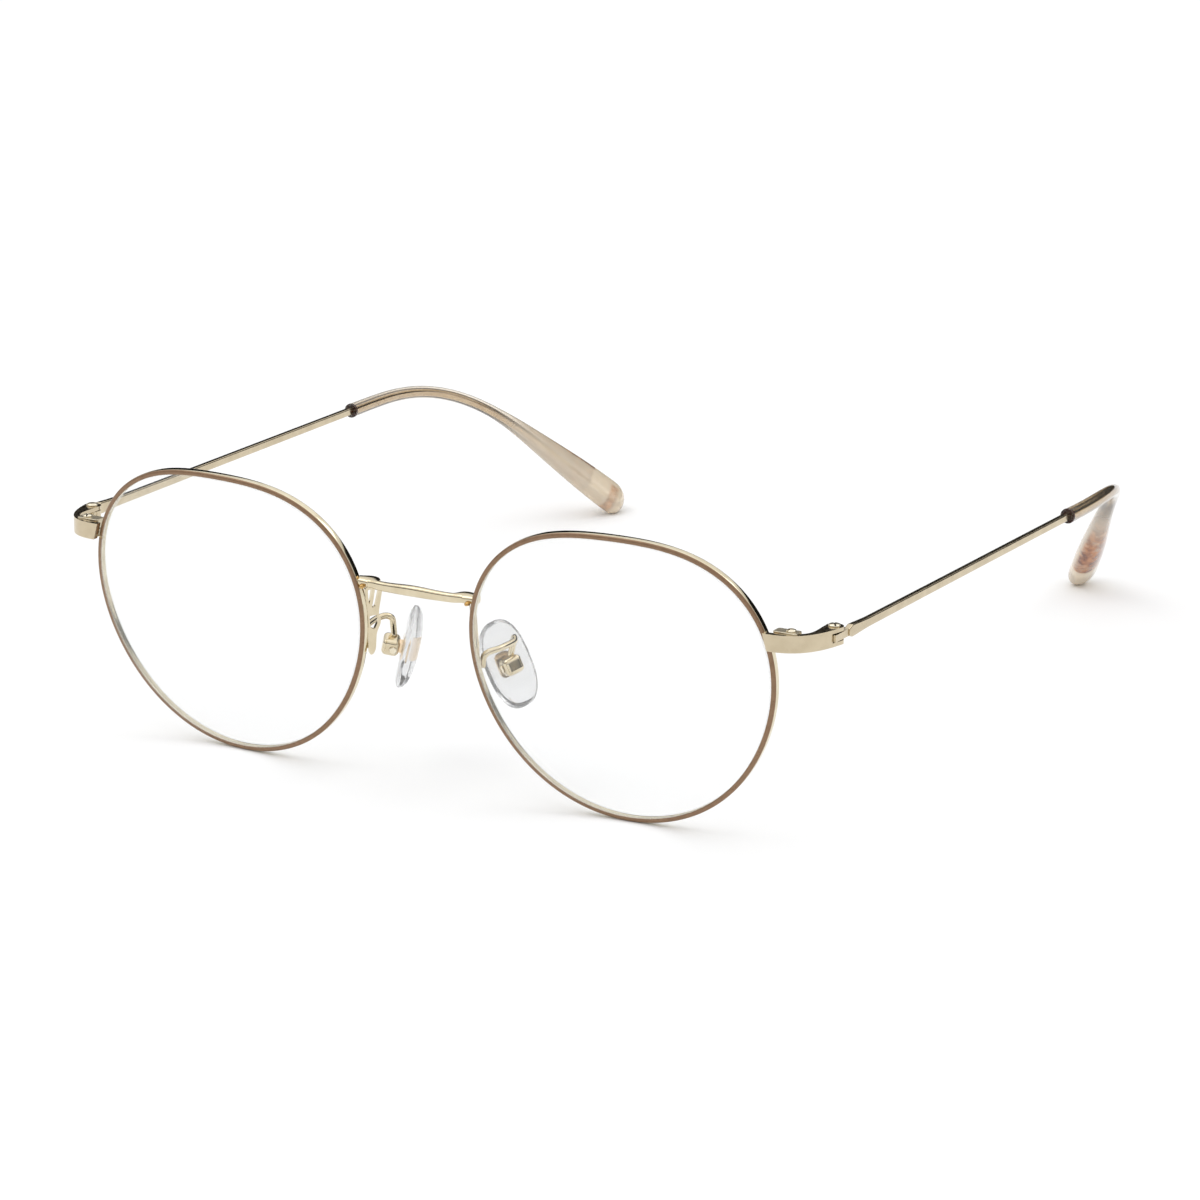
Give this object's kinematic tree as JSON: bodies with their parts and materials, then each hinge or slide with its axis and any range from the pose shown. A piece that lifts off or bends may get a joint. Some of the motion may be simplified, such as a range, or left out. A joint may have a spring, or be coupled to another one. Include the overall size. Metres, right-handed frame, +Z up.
{
  "type": "eyeglasses",
  "caption": "Round metal eyeglasses with thin rims, a low bridge, silicone nose pads on wire arms, and folding temples with curved acetate tips.",
  "frame": {"origin": "middle of the footprint, on the surface the open glasses stand on", "axes": "+X the wearer's left, +Y back along the temples, +Z up"},
  "size_m": [0.1384, 0.1459, 0.0465],
  "materials": {
    "gold_bridge": "satin champagne gold plating",
    "rim_enamel": "taupe enamel on the front face, champagne gold on the sides",
    "lens": "clear, thin, plain",
    "gold_end_piece": "satin champagne gold plating",
    "gold_block": "polished champagne gold plating",
    "screw_metal": "bright gold plated steel",
    "gold_temple": "satin champagne gold plating",
    "tip_acetate": "polished translucent beige acetate, brown mottle near the end",
    "bright_gold": "polished pale gold",
    "pad_silicone": "clear soft silicone"
  },
  "bodies": {
    "front": {"bridge": "gold_bridge", "right_rim": "rim_enamel", "right_lens": "lens", "right_end_piece": "gold_end_piece", "right_upper_block": "gold_block", "right_lower_block": "gold_block", "right_closing_screw": "screw_metal", "right_hinge_screw": "screw_metal", "right_pad_bracket": "bright_gold", "right_pad_arm": "bright_gold", "right_pad_box": "bright_gold", "right_pad_screw": "screw_metal", "left_rim": "rim_enamel", "left_lens": "lens", "left_end_piece": "gold_end_piece", "left_upper_block": "gold_block", "left_lower_block": "gold_block", "left_closing_screw": "screw_metal", "left_hinge_screw": "screw_metal", "left_pad_bracket": "bright_gold", "left_pad_arm": "bright_gold", "left_pad_box": "bright_gold", "left_pad_screw": "screw_metal"},
    "right_temple": {"right_temple": "gold_temple", "right_temple_tip": "tip_acetate"},
    "right_pad": {"right_nose_pad": "pad_silicone", "right_pad_insert": "bright_gold"},
    "left_temple": {"left_temple": "gold_temple", "left_temple_tip": "tip_acetate"},
    "left_pad": {"left_nose_pad": "pad_silicone", "left_pad_insert": "bright_gold"}
  },
  "joints": [
    {"name": "right_temple_hinge", "type": "hinge", "parent": "front", "child": "right_temple", "pos_m": [-0.06675, -0.06096, 0.03278], "axis": [0, -0.0396, -0.9992], "range_deg": [0, 69]},
    {"name": "left_temple_hinge", "type": "hinge", "parent": "front", "child": "left_temple", "pos_m": [0.06675, -0.06096, 0.03278], "axis": [0, 0.0396, 0.9992], "range_deg": [0, 83]},
    {"name": "right_pad_swivel", "type": "hinge", "parent": "front", "child": "right_pad", "pos_m": [-0.0106, -0.06063, 0.01916], "axis": [-0.4547, 0.8464, 0.2774], "range_deg": [-8, 8]},
    {"name": "left_pad_swivel", "type": "hinge", "parent": "front", "child": "left_pad", "pos_m": [0.0106, -0.06063, 0.01916], "axis": [0.4547, 0.8464, 0.2774], "range_deg": [-8, 8]}
  ]
}
